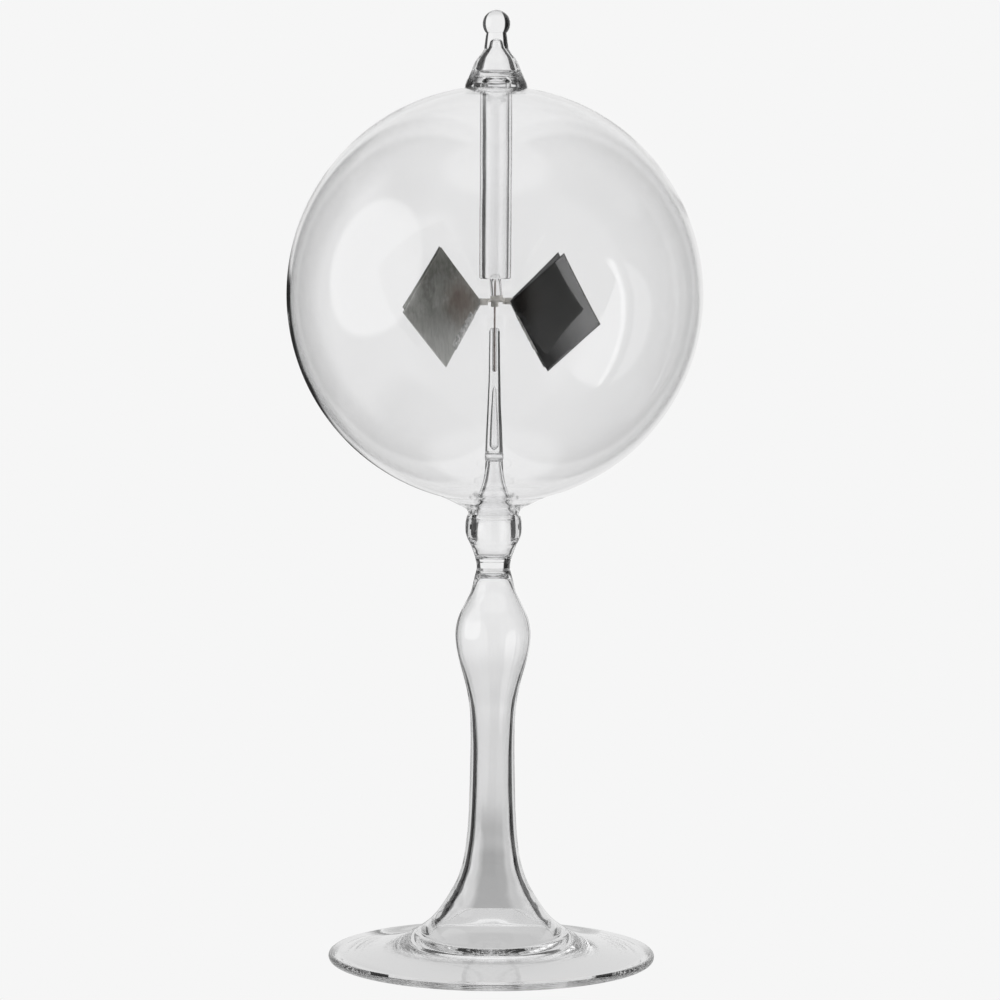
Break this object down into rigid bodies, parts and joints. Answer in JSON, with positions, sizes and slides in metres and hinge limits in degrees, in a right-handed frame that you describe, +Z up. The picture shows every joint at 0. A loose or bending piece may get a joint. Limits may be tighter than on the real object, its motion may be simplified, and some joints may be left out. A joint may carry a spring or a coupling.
{
  "type": "radiometer",
  "caption": "Light mill: diamond vanes, bright on one face and black on the other, spin on a needle point inside an evacuated glass globe on a hollow glass stand with a round foot.",
  "frame": {"origin": "on the stand's axis, in the plane that the foot rests on", "axes": "+Z up along the stand's axis; the pivot needle is on the same axis; -Y is the side between the bright face of one front vane and the black face of the other"},
  "size_m": [0.1, 0.1, 0.2292],
  "materials": {
    "clear_glass": "clear, fire polished",
    "needle_steel": "bright",
    "sheet_metal": "thin stamped sheet, satin",
    "vane_bright": "mottled, fine vertical grain",
    "vane_black": "satin black coat"
  },
  "bodies": {
    "root": {"finial_ball": "clear_glass", "finial_bell": "clear_glass", "top_seal_ring": "clear_glass", "globe": "clear_glass", "guide_tube": "clear_glass", "needle_stem_rod": "clear_glass", "stem_weld_ring": "clear_glass", "needle_stem_cone": "clear_glass", "neck_seal_ring": "clear_glass", "knop": "clear_glass", "neck_collar": "clear_glass", "stand_bulb": "clear_glass", "stand_column": "clear_glass", "foot": "clear_glass", "pivot_needle": "needle_steel"},
    "rotor": {"rotor_cap": "clear_glass", "hub_ferrule": "sheet_metal", "spider": "sheet_metal", "vane_clip_1": "sheet_metal", "vane_clip_2": "sheet_metal", "vane_clip_3": "sheet_metal", "vane_clip_4": "sheet_metal", "vane_1": "vane_bright", "vane_2": "vane_bright", "vane_3": "vane_bright", "vane_4": "vane_bright", "vane_blacking_1": "vane_black", "vane_blacking_2": "vane_black", "vane_blacking_3": "vane_black", "vane_blacking_4": "vane_black"}
  },
  "joints": [
    {"name": "rotor_spin", "type": "hinge", "parent": "root", "child": "rotor", "pos_m": [0, 0, 0.1655], "axis": [0, 0, 1], "continuous": true}
  ]
}
